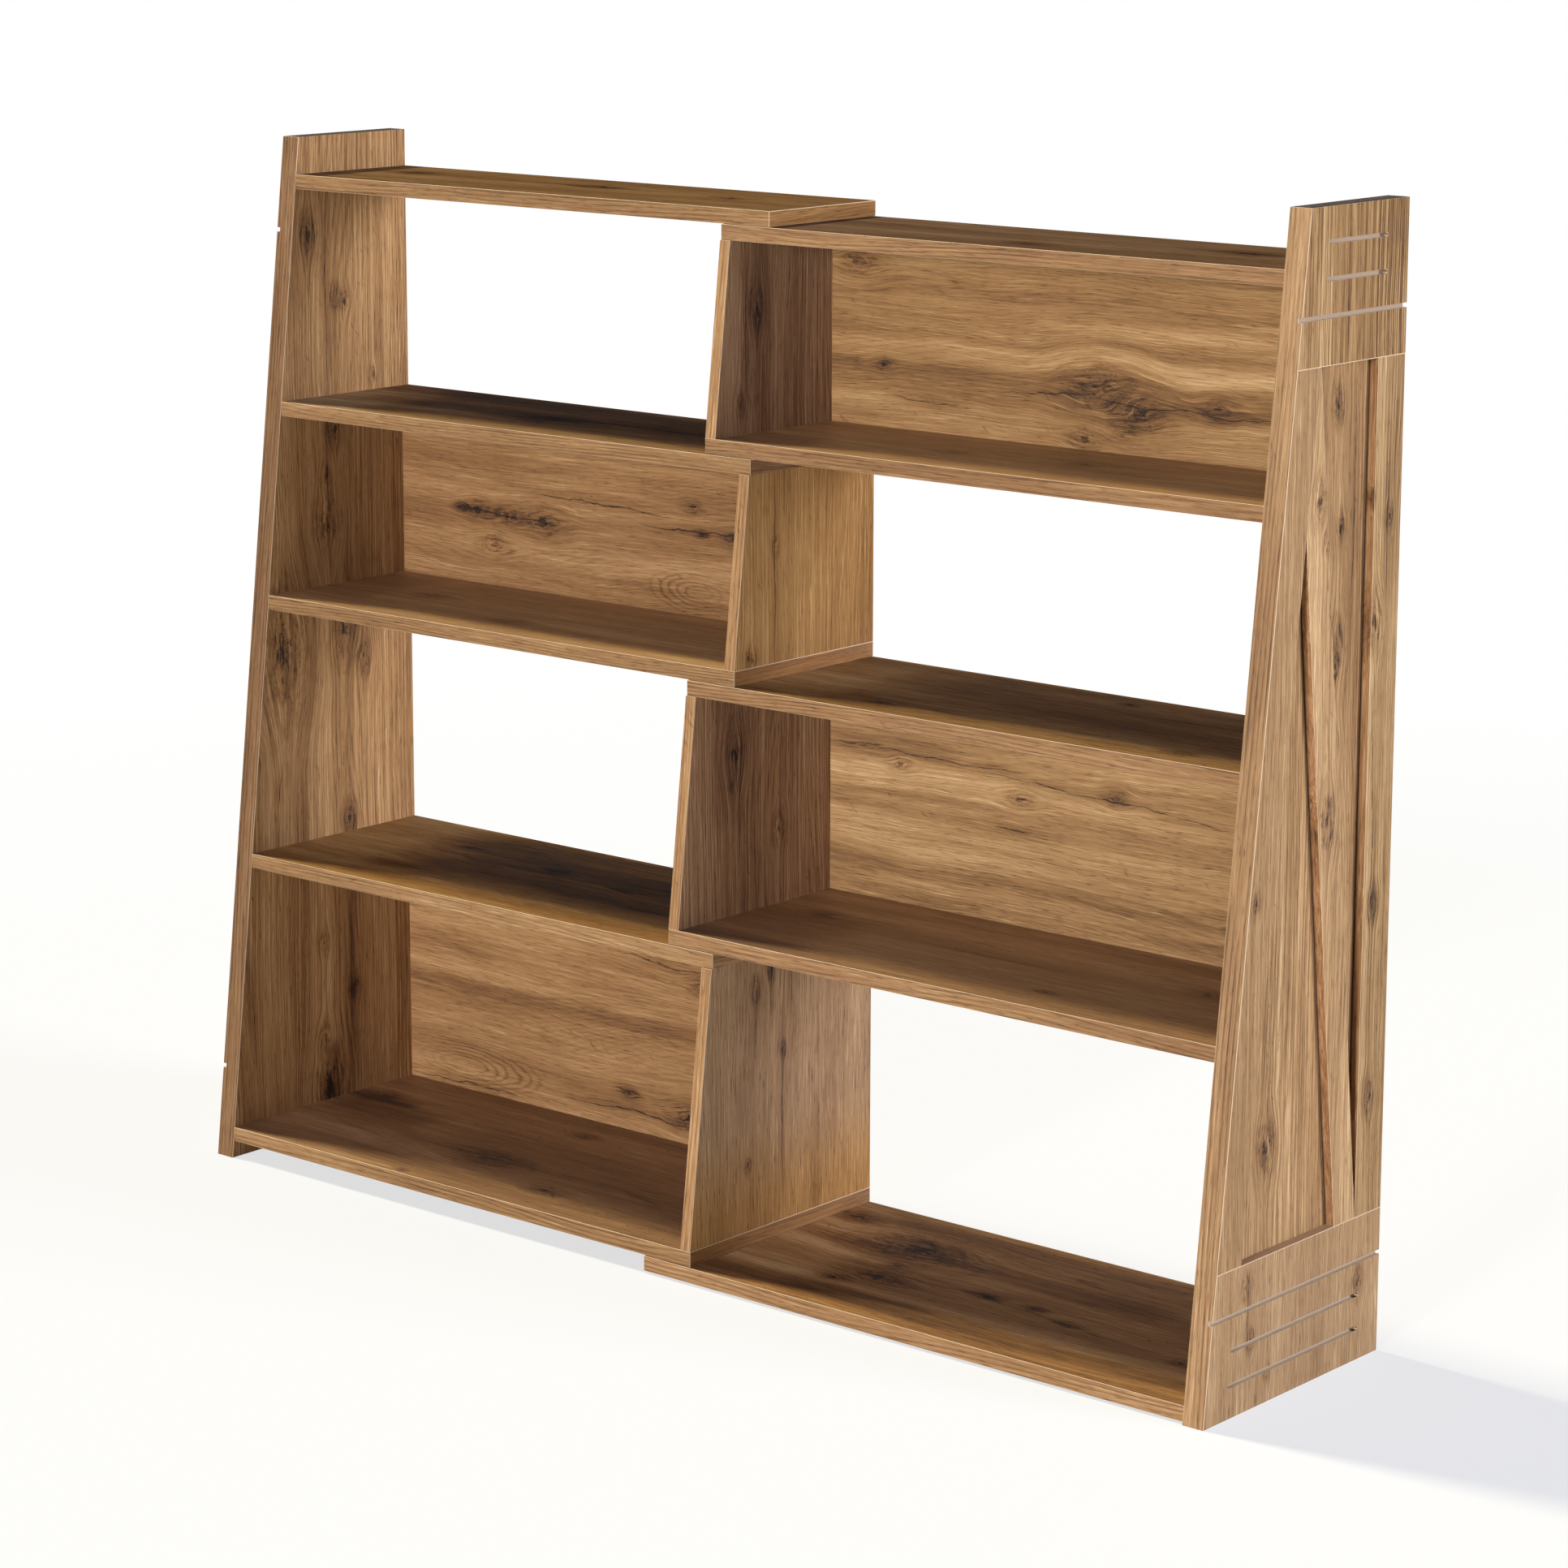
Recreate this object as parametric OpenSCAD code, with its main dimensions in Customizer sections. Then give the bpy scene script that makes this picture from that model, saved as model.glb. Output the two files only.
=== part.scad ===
// Expandable corner bookshelf: two sloping-front units whose shelves interleave.
// The left unit's shelves lie on the right unit's at levels 1, 3 and 5, and under them at 2 and 4.
// Two hidden pins let the right unit slide along the left one and turn into a corner.
// Millimetres. X is the width, Y points to the wall, Z is up. The origin is under the middle.

/* [Units] */
// Length of the left unit, from its outer face to the free ends of its shelves
left_length = 800; // [700:5:950]
// Length of the right unit, from its outer face to the free ends of its shelves
right_length = 800; // [700:5:950]
// Overlap of the two units when the bookshelf is fully extended
overlap = 70; // [60:1:120]
// Depth at the floor
bottom_depth = 336; // [300:1:400]
// Depth at the top of the end panels
top_depth = 186; // [170:1:260]
// Height of the end panels above the top shelf
end_rise = 46; // [30:1:90]

/* [Bays] */
// Clear height of the top closed bay, in the right unit
bay_1 = 226; // [180:1:320]
// Clear height of the second closed bay, in the left unit
bay_2 = 224; // [180:1:320]
// Clear height of the third closed bay, in the right unit
bay_3 = 272; // [180:1:340]
// Clear height of the bottom closed bay, in the left unit
bay_4 = 332; // [180:1:400]

/* [Boards] */
// Thickness of the shelves
shelf_t = 18; // [16:0.5:22]
// Thickness of the dividers
divider_t = 15; // [12:0.5:18]
// Thickness of the inner board of an end panel
end_board_t = 15; // [15:0.5:18]
// Thickness of the outer layer of an end panel
end_layer_t = 12; // [9:0.5:16]
// Thickness of the back panels
back_t = 12; // [9:0.5:16]
// Thickness of the edge bands
band_t = 1; // [0.6:0.1:2]
// Gap between two shelves that slide on each other
slide_gap = 0.4; // [0.2:0.1:0.8]

/* [End panel layer] */
// Height of the top and bottom rails
rail_h = 167; // [140:1:200]
// Level width of the front stile
front_stile_w = 46; // [36:1:56]
// Width of the rear stile
rear_stile_w = 52; // [40:1:60]
// Level width of the diagonal brace
brace_w = 41; // [30:1:48]
// Width of the routed grooves
groove_w = 5; // [3:0.5:7]
// Depth of the routed grooves
groove_d = 5; // [2:0.5:7]
// Distance of the outermost groove from the end of its rail
groove_first = 37; // [25:1:45]
// Distance from one groove to the next
groove_pitch = 39; // [25:1:44]
// Distance of the short grooves' ends from the front and rear edges
groove_inset = 40; // [20:1:60]

/* [Cam fittings] */
// Diameter of a cam lock
cam_d = 15; // [12:0.5:16]
// Depth of a cam lock's bore in the underside of a shelf
cam_depth = 12.5; // [11:0.5:14]
// Distance of a cam lock's centre from the shelf's end
cam_inset = 34; // [24:1:40]
// Diameter of a cam bolt's thread
bolt_thread_d = 6; // [5:0.5:7]
// Length of a cam bolt's thread in the end panel
bolt_thread_len = 11; // [8:0.5:12]
// Diameter of the bore for a cam bolt in a shelf's end
bolt_bore_d = 8; // [7.5:0.5:9]
// Distance of the rear cam from the rear face
fitting_rear = 37; // [30:1:45]
// Distance of the front cam from the shelf's front face
fitting_front = 50; // [40:1:55]
// Distance from a cam to the dowel beside it
dowel_step = 32; // [16:1:32]

/* [Dowels and screws] */
// Diameter of the main dowels
dowel_d = 8; // [6:0.5:10]
// Length of the main dowels
dowel_len = 30; // [26:1:34]
// Length of a main dowel in the thinner board
dowel_seat = 10; // [8:0.5:11]
// Diameter of the back panel's dowels
back_dowel_d = 6; // [4:0.5:7]
// Length of the back panel's dowels
back_dowel_len = 24; // [20:1:28]
// Distance of the back panel's dowels from its ends
back_dowel_inset = 120; // [60:5:160]
// Diameter of a divider screw's shank
screw_d = 4.5; // [3.5:0.5:5]
// Diameter of a divider screw's head
screw_head_d = 8.5; // [7:0.5:10]
// Length of a divider screw
screw_len = 50; // [40:1:60]
// Distance of the divider screws from the rear face and from the front face
screw_inset = 55; // [45:1:60]
// Clearance all round a fixed fitting in its bore
fit_gap = 0.05; // [0.02:0.01:0.1]

/* [Pivot pins] */
// Diameter of the pivot pins
pin_d = 8; // [6:0.5:10]
// Length of a pivot pin in the lower shelf
pin_seat = 10; // [8:0.5:12]
// Length of a pivot pin in the groove of the upper shelf
pin_rise = 9; // [6:0.5:10]
// Clearance all round a pivot pin in its bore
running_gap = 0.05; // [0.02:0.01:0.1]
// Clearance at each side of a pivot pin in its groove
slot_gap = 0.1; // [0.05:0.05:0.3]
// Travel of the pivot pins along their grooves
travel = 430; // [300:5:430]

/* [Floor glides] */
// Diameter of the glides under the right unit's bottom shelf
glide_d = 22; // [16:1:30]
// Thickness of the glides
glide_t = 3; // [2:0.5:5]
// Distance of the glides' centres from the edges of the shelf
glide_inset = 45; // [30:1:60]

/* [Hidden] */
$fn = 48;
LEFT = "left";
RIGHT = "right";

oak_face = [0.57, 0.39, 0.22];
oak_shelf = [0.47, 0.31, 0.17];
oak_edge = [0.66, 0.48, 0.30];
beech = [0.80, 0.66, 0.46];
zinc = [0.70, 0.70, 0.68];
steel = [0.62, 0.63, 0.64];
black_plastic = [0.12, 0.11, 0.10];

eps = 0.01;
end_t = end_board_t + end_layer_t;
width = left_length + right_length - overlap;
rear_y = bottom_depth / 2;

// Height of the plane between the two shelves of each level, from the bottom up
joint_5 = glide_t + shelf_t;
pair_h = 2 * shelf_t + slide_gap;
joint_4 = joint_5 + pair_h + bay_4;
joint_3 = joint_4 + pair_h + bay_3;
joint_2 = joint_3 + pair_h + bay_2;
joint_1 = joint_2 + pair_h + bay_1;
joint_z = [joint_1, joint_2, joint_3, joint_4, joint_5];
height = joint_1 + slide_gap + shelf_t + end_rise;

levels = [1, 2, 3, 4, 5];
pivot_x = (left_length - right_length) / 2;
pivot_y = rear_y - overlap / 2;

function length_of(side) = side == LEFT ? left_length : right_length;

// Y of the sloping front at a height
function front_y(z) = rear_y - bottom_depth + (bottom_depth - top_depth) * z / height;

// The left unit's shelf is the upper one at odd levels, the right unit's at even levels
function is_upper(side, level) = (level % 2 == 1) == (side == LEFT);
function shelf_bottom(side, level) =
    is_upper(side, level) ? joint_z[level - 1] + slide_gap : joint_z[level - 1] - shelf_t;
function shelf_top(side, level) = shelf_bottom(side, level) + shelf_t;
function shelf_front(side, level) = front_y(shelf_top(side, level));

// A closed bay has the number of the shelf above it
function closed_bays(side) = side == LEFT ? [2, 4] : [1, 3];
function is_roof(side, level) = level == closed_bays(side)[0] || level == closed_bays(side)[1];
function is_floor(side, level) = is_roof(side, level - 1);
function bay_floor(side, bay) = shelf_top(side, bay + 1);
function bay_roof(side, bay) = shelf_bottom(side, bay);

// Y of the fittings that hold a shelf to its end panel
function cam_ys(side, level) = [rear_y - fitting_rear, shelf_front(side, level) + fitting_front];
function dowel_ys(side, level) =
    [rear_y - fitting_rear - dowel_step, shelf_front(side, level) + fitting_front + dowel_step];

// Y of the screws and of the dowel in a divider's end at a height
function screw_ys(z) = [rear_y - screw_inset, front_y(z) + screw_inset];
function divider_dowel_y(z) = (screw_ys(z)[0] + screw_ys(z)[1]) / 2;

divider_u = function (side) length_of(side) - divider_t / 2;
back_dowel_us = function (side) [
    end_t + back_dowel_inset,
    length_of(side) - divider_t - back_dowel_inset
];
back_y = rear_y - back_t / 2;

// Places a unit drawn from its outer face at X = 0 inwards along +X
module place(side) {
    if (side == LEFT)
        translate([-width / 2, 0, 0]) children();
    else
        translate([width / 2, 0, 0]) mirror([1, 0, 0]) children();
}

// Plate with its outline in Y and Z, from X = x to x + t
module side_plate(x, t, outline) {
    translate([x, 0, 0]) rotate([90, 0, 90]) linear_extrude(t) polygon(outline);
}

// Rod along +X from a point, with its radius and length
module rod_x(x, y, z, r, len) {
    translate([x, y, z]) rotate([0, 90, 0]) cylinder(r = r, h = len);
}

// Outline between two heights, from the sloping front, set back, to the rear face
function sloping_outline(z_low, z_high, set_back) = [
    [rear_y, z_low],
    [front_y(z_low) + set_back, z_low],
    [front_y(z_high) + set_back, z_high],
    [rear_y, z_high]
];

// Outline of a band on the sloping front between two heights
function band_outline(z_low, z_high) = [
    [front_y(z_low), z_low],
    [front_y(z_low) + band_t, z_low],
    [front_y(z_high) + band_t, z_high],
    [front_y(z_high), z_high]
];

// Groove across the whole outer face, cut through both edges
module through_groove(z) {
    translate([-eps, front_y(0) - 1, z - groove_w / 2])
        cube([groove_d + eps, bottom_depth + 2, groove_w]);
}

// Groove in the outer face with rounded blind ends
module blind_groove(z) {
    y_front = front_y(z) + groove_inset + groove_w / 2;
    y_rear = rear_y - groove_inset - groove_w / 2;
    translate([-eps, y_front, z - groove_w / 2])
        cube([groove_d + eps, y_rear - y_front, groove_w]);
    for (y = [y_front, y_rear])
        rod_x(-eps, y, z, groove_w / 2, groove_d + eps);
}

third_groove = groove_first + 2 * groove_pitch;

module through_grooves() {
    through_groove(third_groove);
    through_groove(height - third_groove);
}

// Inner board of an end panel, with the blind bores for cam bolts and dowels
module end_panel(side) {
    color(oak_face) place(side) difference() {
        side_plate(end_layer_t, end_board_t, sloping_outline(0, height, band_t));
        for (level = levels) {
            z = shelf_bottom(side, level) + shelf_t / 2;
            for (y = cam_ys(side, level))
                rod_x(end_t - bolt_thread_len, y, z, bolt_thread_d / 2, bolt_thread_len + eps);
            for (y = dowel_ys(side, level))
                rod_x(end_t - dowel_seat, y, z, dowel_d / 2, dowel_seat + eps);
        }
    }
}

module top_rail(side) {
    color(oak_face) place(side) difference() {
        side_plate(0, end_layer_t, sloping_outline(height - rail_h, height, band_t));
        through_groove(height - third_groove);
        blind_groove(height - groove_first);
        blind_groove(height - groove_first - groove_pitch);
    }
}

module bottom_rail(side) {
    color(oak_face) place(side) difference() {
        side_plate(0, end_layer_t, sloping_outline(0, rail_h, band_t));
        through_groove(third_groove);
        blind_groove(groove_first);
        blind_groove(groove_first + groove_pitch);
    }
}

// Heights between the rails, and Y of the front stile's rear edge at a height
stile_low = rail_h;
stile_high = height - rail_h;
function stile_inner_y(z) = front_y(z) + front_stile_w;

module front_stile(side) {
    color(oak_face) place(side) side_plate(0, end_layer_t, [
        [front_y(stile_low) + band_t, stile_low],
        [stile_inner_y(stile_low), stile_low],
        [stile_inner_y(stile_high), stile_high],
        [front_y(stile_high) + band_t, stile_high]
    ]);
}

module rear_stile(side) {
    color(oak_face) place(side) side_plate(0, end_layer_t, [
        [rear_y - rear_stile_w, stile_low],
        [rear_y, stile_low],
        [rear_y, stile_high],
        [rear_y - rear_stile_w, stile_high]
    ]);
}

// The brace rises from the rear stile's foot to the front stile's head, and is cut along that stile
brace_foot_y = rear_y - rear_stile_w;
brace_lean = (brace_foot_y - stile_inner_y(stile_high)) / (stile_high - stile_low);
stile_lean = (bottom_depth - top_depth) / height;
brace_tip_z = stile_high - brace_w / (brace_lean + stile_lean);

module diagonal_brace(side) {
    color(oak_face) place(side) side_plate(0, end_layer_t, [
        [brace_foot_y - brace_w, stile_low],
        [brace_foot_y, stile_low],
        [stile_inner_y(stile_high), stile_high],
        [stile_inner_y(brace_tip_z), brace_tip_z]
    ]);
}

// One band over the front edges of the end panel's board and outer layer
module end_edge_band(side) {
    color(oak_edge) place(side) difference() {
        side_plate(0, end_t, band_outline(0, height));
        through_grooves();
    }
}

// Bores in a shelf's end and underside for its cam locks, cam bolts and dowels
module end_joint_bores(side, level) {
    z_low = shelf_bottom(side, level);
    z_mid = z_low + shelf_t / 2;
    for (y = cam_ys(side, level)) {
        translate([end_t + cam_inset, y, z_low - eps]) cylinder(d = cam_d, h = cam_depth + eps);
        rod_x(end_t - eps, y, z_mid, bolt_bore_d / 2, cam_inset + eps);
    }
    for (y = dowel_ys(side, level))
        rod_x(end_t - eps, y, z_mid, dowel_d / 2, dowel_len - dowel_seat + 1 + eps);
}

// Moves to the plane between a shelf and the closed bay beside it, with +Z into the bay
module at_bay_face(side, level) {
    if (is_roof(side, level))
        translate([0, 0, shelf_bottom(side, level)]) mirror([0, 0, 1]) children();
    else
        translate([0, 0, shelf_top(side, level)]) children();
}

function bay_face_z(side, level) =
    is_roof(side, level) ? shelf_bottom(side, level) : shelf_top(side, level);

screw_head_h = (screw_head_d - screw_d) / 2;

// Bores in a shelf for the screws and dowels of the divider and back panel that stand on it
module bay_joint_bores(side, level) {
    z = bay_face_z(side, level);
    at_bay_face(side, level) {
        for (y = screw_ys(z)) {
            translate([divider_u(side), y, -shelf_t - eps])
                cylinder(r = screw_d / 2 + fit_gap, h = shelf_t + 2 * eps);
            translate([divider_u(side), y, -shelf_t])
                cylinder(d1 = screw_head_d + 2 * fit_gap, d2 = screw_d + 2 * fit_gap, h = screw_head_h);
        }
        translate([divider_u(side), divider_dowel_y(z), -dowel_seat])
            cylinder(r = dowel_d / 2, h = dowel_seat + eps);
        for (u = back_dowel_us(side))
            translate([u, back_y, -back_dowel_len / 2])
                cylinder(d = back_dowel_d, h = back_dowel_len / 2 + eps);
    }
}

// Groove in the underside of a left shelf, along which a pivot pin runs
module pin_groove(level) {
    r = pin_d / 2 + slot_gap;
    z = shelf_bottom(LEFT, level) - eps;
    h = pin_rise + 1 + eps;
    x_high = pivot_x;
    x_low = pivot_x - travel;
    translate([x_low, pivot_y - r, z]) cube([travel, 2 * r, h]);
    for (x = [x_low, x_high])
        translate([x, pivot_y, z]) cylinder(r = r, h = h);
}

// Blind bore in the top of a right shelf, in which a pivot pin turns
module pin_bore(level) {
    translate([pivot_x, pivot_y, shelf_top(RIGHT, level) - pin_seat])
        cylinder(r = pin_d / 2 + running_gap, h = pin_seat + eps);
}

module shelf(side, level) {
    z = shelf_bottom(side, level);
    y = shelf_front(side, level) + band_t;
    color(oak_shelf) difference() {
        place(side) difference() {
            translate([end_t, y, z]) cube([length_of(side) - end_t, rear_y - y, shelf_t]);
            end_joint_bores(side, level);
            if (is_roof(side, level) || is_floor(side, level))
                bay_joint_bores(side, level);
        }
        if (level == 1 || level == 5) {
            if (side == LEFT)
                pin_groove(level);
            else
                pin_bore(level);
        }
    }
}

module shelf_edge_bands(side) {
    color(oak_edge) place(side)
        for (level = levels)
            translate([end_t, shelf_front(side, level), shelf_bottom(side, level)])
                cube([length_of(side) - end_t, band_t, shelf_t]);
}

// Upright board at the free end of a closed bay
module divider(side, bay) {
    u = length_of(side) - divider_t;
    color(oak_face) place(side) difference() {
        side_plate(u, divider_t, sloping_outline(bay_floor(side, bay), bay_roof(side, bay), band_t));
        for (level = [bay, bay + 1]) {
            z = bay_face_z(side, level);
            at_bay_face(side, level) {
                for (y = screw_ys(z))
                    translate([divider_u(side), y, -eps])
                        cylinder(r = screw_d / 2 + fit_gap, h = screw_len - shelf_t + 1);
                translate([divider_u(side), divider_dowel_y(z), -eps])
                    cylinder(r = dowel_d / 2, h = dowel_len - dowel_seat + 1);
            }
        }
    }
}

module divider_edge_bands(side) {
    color(oak_edge) place(side)
        for (bay = closed_bays(side))
            side_plate(
                length_of(side) - divider_t, divider_t,
                band_outline(bay_floor(side, bay), bay_roof(side, bay))
            );
}

module back_panel(side, bay) {
    z = bay_floor(side, bay);
    color(oak_face) place(side) difference() {
        translate([end_t, rear_y - back_t, z])
            cube([length_of(side) - divider_t - end_t, back_t, bay_roof(side, bay) - z]);
        for (level = [bay, bay + 1])
            at_bay_face(side, level)
                for (u = back_dowel_us(side))
                    translate([u, back_y, -eps])
                        cylinder(d = back_dowel_d, h = back_dowel_len / 2 + 1);
    }
}

// Dowel standing on Z = 0 with chamfered ends, narrower than its bore
module dowel(d, len) {
    r = d / 2 - fit_gap;
    chamfer = 1;
    rotate_extrude() polygon([
        [0, 0], [r - chamfer, 0], [r, chamfer], [r, len - chamfer], [r - chamfer, len], [0, len]
    ]);
}

bolt_neck_d = 3.4;
bolt_head_h = 2.4;

// Cam bolt along +Z from the tip of its thread to the ball end in the cam lock
module cam_bolt() {
    thread_r = bolt_thread_d / 2 - fit_gap;
    collar_r = bolt_bore_d / 2 - fit_gap;
    collar_end = bolt_thread_len + 2;
    top = bolt_thread_len + cam_inset;
    neck = top - 2.5 * bolt_head_h;
    rotate_extrude() polygon([
        [0, 0], [thread_r - 1, 0], [thread_r, 1], [thread_r, bolt_thread_len],
        [collar_r, bolt_thread_len], [collar_r, collar_end], [thread_r, collar_end],
        [thread_r, neck], [bolt_neck_d / 2, neck], [bolt_neck_d / 2, top - bolt_head_h],
        [thread_r, top - bolt_head_h], [thread_r, top - bolt_head_h / 2], [thread_r - 1, top], [0, top]
    ]);
}

cam_recess = 0.5;
cam_cross = 8;
cam_cross_w = 1.6;

// Cam lock standing on the mouth of its bore, with the bolt's pocket towards -X
module cam_lock() {
    h = cam_depth - cam_recess - fit_gap;
    difference() {
        translate([0, 0, cam_recess]) cylinder(r = cam_d / 2 - fit_gap, h = h);
        rod_x(-cam_d, 0, shelf_t / 2, bolt_thread_d / 2 + 0.5, cam_d + bolt_thread_d / 2);
        for (turn = [0, 90])
            rotate([0, 0, turn + 45])
                translate([-cam_cross / 2, -cam_cross_w / 2, cam_recess - eps])
                    cube([cam_cross, cam_cross_w, 2]);
    }
}

module cam_locks(side) {
    color(zinc) place(side)
        for (level = levels, y = cam_ys(side, level))
            translate([end_t + cam_inset, y, shelf_bottom(side, level)]) cam_lock();
}

module cam_bolts(side) {
    color(steel) place(side)
        for (level = levels, y = cam_ys(side, level))
            translate([end_t - bolt_thread_len, y, shelf_bottom(side, level) + shelf_t / 2])
                rotate([0, 90, 0]) cam_bolt();
}

// Dowels between the end panel and the shelves, and in the ends of the dividers
module dowels(side) {
    color(beech) place(side) {
        for (level = levels, y = dowel_ys(side, level))
            translate([end_t - dowel_seat, y, shelf_bottom(side, level) + shelf_t / 2])
                rotate([0, 90, 0]) dowel(dowel_d, dowel_len);
        for (bay = closed_bays(side), level = [bay, bay + 1])
            at_bay_face(side, level)
                translate([divider_u(side), divider_dowel_y(bay_face_z(side, level)), -dowel_seat])
                    dowel(dowel_d, dowel_len);
    }
}

module back_dowels(side) {
    color(beech) place(side)
        for (bay = closed_bays(side), level = [bay, bay + 1], u = back_dowel_us(side))
            at_bay_face(side, level)
                translate([u, back_y, -back_dowel_len / 2])
                    dowel(back_dowel_d, back_dowel_len);
}

// Countersunk screw along +Z with its head's face at Z = 0
module screw() {
    r = screw_d / 2;
    tip = 3;
    drive = screw_head_d * 0.5;
    difference() {
        rotate_extrude() polygon([
            [0, 0], [screw_head_d / 2, 0], [r, screw_head_h], [r, screw_len - tip],
            [0.4, screw_len], [0, screw_len]
        ]);
        for (turn = [0, 90])
            rotate([0, 0, turn])
                translate([-drive / 2, -0.5, -eps]) cube([drive, 1, 1.2]);
    }
}

module divider_screws(side) {
    color(steel) place(side)
        for (bay = closed_bays(side), level = [bay, bay + 1])
            at_bay_face(side, level)
                for (y = screw_ys(bay_face_z(side, level)))
                    translate([divider_u(side), y, -shelf_t]) screw();
}

// Glides that carry the right unit's bottom shelf on the floor
module floor_glides() {
    us = [length_of(RIGHT) - glide_inset, length_of(RIGHT) / 2];
    ys = [shelf_front(RIGHT, 5) + glide_inset, rear_y - glide_inset];
    r = glide_d / 2;
    color(black_plastic) place(RIGHT)
        for (u = us, y = ys)
            translate([u, y, 0]) rotate_extrude() polygon([
                [0, 0], [r - 1, 0], [r, 1], [r, glide_t], [0, glide_t]
            ]);
}

// Pivot pin between the two shelves of a level
module pivot_pin(level) {
    r = pin_d / 2;
    len = pin_seat + slide_gap + pin_rise;
    color(steel) translate([pivot_x, pivot_y, joint_z[level - 1] - pin_seat])
        rotate_extrude() polygon([
            [0, 0], [r - 0.6, 0], [r, 0.6], [r, len - 0.6], [r - 0.6, len], [0, len]
        ]);
}

end_panel(LEFT);  // left_end_panel
top_rail(LEFT);  // left_top_rail
bottom_rail(LEFT);  // left_bottom_rail
front_stile(LEFT);  // left_front_stile
diagonal_brace(LEFT);  // left_diagonal_brace
rear_stile(LEFT);  // left_rear_stile
end_edge_band(LEFT);  // left_end_edge_band
shelf(LEFT, 1);  // left_shelf_1
shelf(LEFT, 2);  // left_shelf_2
shelf(LEFT, 3);  // left_shelf_3
shelf(LEFT, 4);  // left_shelf_4
shelf(LEFT, 5);  // left_shelf_5
shelf_edge_bands(LEFT);  // left_shelf_edge_bands
divider(LEFT, closed_bays(LEFT)[0]);  // left_upper_divider
divider(LEFT, closed_bays(LEFT)[1]);  // left_lower_divider
divider_edge_bands(LEFT);  // left_divider_edge_bands
back_panel(LEFT, closed_bays(LEFT)[0]);  // left_upper_back_panel
back_panel(LEFT, closed_bays(LEFT)[1]);  // left_lower_back_panel
cam_locks(LEFT);  // left_cam_locks
cam_bolts(LEFT);  // left_cam_bolts
dowels(LEFT);  // left_dowels
back_dowels(LEFT);  // left_back_dowels
divider_screws(LEFT);  // left_divider_screws
end_panel(RIGHT);  // right_end_panel
top_rail(RIGHT);  // right_top_rail
bottom_rail(RIGHT);  // right_bottom_rail
front_stile(RIGHT);  // right_front_stile
diagonal_brace(RIGHT);  // right_diagonal_brace
rear_stile(RIGHT);  // right_rear_stile
end_edge_band(RIGHT);  // right_end_edge_band
shelf(RIGHT, 1);  // right_shelf_1
shelf(RIGHT, 2);  // right_shelf_2
shelf(RIGHT, 3);  // right_shelf_3
shelf(RIGHT, 4);  // right_shelf_4
shelf(RIGHT, 5);  // right_shelf_5
shelf_edge_bands(RIGHT);  // right_shelf_edge_bands
divider(RIGHT, closed_bays(RIGHT)[0]);  // right_upper_divider
divider(RIGHT, closed_bays(RIGHT)[1]);  // right_lower_divider
divider_edge_bands(RIGHT);  // right_divider_edge_bands
back_panel(RIGHT, closed_bays(RIGHT)[0]);  // right_upper_back_panel
back_panel(RIGHT, closed_bays(RIGHT)[1]);  // right_lower_back_panel
cam_locks(RIGHT);  // right_cam_locks
cam_bolts(RIGHT);  // right_cam_bolts
dowels(RIGHT);  // right_dowels
back_dowels(RIGHT);  // right_back_dowels
divider_screws(RIGHT);  // right_divider_screws
floor_glides();  // right_floor_glides
pivot_pin(1);  // top_pivot_pin
pivot_pin(5);  // bottom_pivot_pin
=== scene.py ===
"""Looks of the expandable corner bookshelf: rustic oak print on board, with pale trimmed edges.

Metres, in the frame of the part: X is the width, Y points to the wall, Z is up.
A board's print is drawn in its own coordinates: along the grain, across it, and through the board.
"""
import math

import bpy
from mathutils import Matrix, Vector

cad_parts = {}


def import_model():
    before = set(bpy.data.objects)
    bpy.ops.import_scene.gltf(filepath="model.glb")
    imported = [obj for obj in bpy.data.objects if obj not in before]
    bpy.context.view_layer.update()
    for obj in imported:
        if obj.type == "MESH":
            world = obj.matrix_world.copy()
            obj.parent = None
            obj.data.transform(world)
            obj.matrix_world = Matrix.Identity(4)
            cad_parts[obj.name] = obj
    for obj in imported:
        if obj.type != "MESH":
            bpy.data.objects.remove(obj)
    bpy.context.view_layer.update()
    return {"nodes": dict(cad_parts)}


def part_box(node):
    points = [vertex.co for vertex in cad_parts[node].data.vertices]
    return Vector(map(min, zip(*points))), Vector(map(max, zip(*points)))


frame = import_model()
nodes = frame["nodes"]
MM = 0.001

# Tones of the oak print, from crack to palest fibre. All colours are linear light.
OAK_TONES = [
    (0.00, (0.018, 0.014, 0.012)),
    (0.16, (0.050, 0.031, 0.023)),
    (0.36, (0.150, 0.070, 0.032)),
    (0.60, (0.315, 0.166, 0.071)),
    (0.80, (0.475, 0.287, 0.144)),
    (1.00, (0.660, 0.456, 0.272)),
]
MIDDLE_TONE = 0.60
# How far marks change the tone: the heart, curls and brown of knots, cracks and their smoke, and nested arcs
KNOT_HEART = -0.26
KNOT_CURLS = -0.26
KNOT_HALO = -0.15
CRACK_LINE = -0.38
CRACK_SMOKE = 0.28
ARC_LINE = -0.17
# How far a board's print and the wander of its cracks move in their patterns for each step of its seed
PRINT_SHIFT = (0.731, 0.0113, 0.377)
CRACK_SHIFT = 0.37
# How far cracks wander from a straight line on uprights, and on other boards
UPRIGHT_WANDER = 0.012
WANDER = 0.028

# The pale cut edge
CUT_EDGE = (0.580, 0.440, 0.305)
# Raw board in the grooves of upper and lower rails and on the grooves' lower walls, paler on the lower walls
# as painted light, and the dark ends of the short grooves of upper and lower rails
GROOVE = (0.360, 0.270, 0.200)
GROOVE_LOW = (0.360, 0.275, 0.205)
GROOVE_WALL = (0.650, 0.500, 0.380)
SPOT = (0.170, 0.105, 0.075)
SPOT_LOW = (0.060, 0.034, 0.024)
# Painted shade in the corner at the foot of stiles and braces, where they meet the recessed board
PAINTED_CORNER_SHADE = (0.030, 0.018, 0.012)
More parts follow.
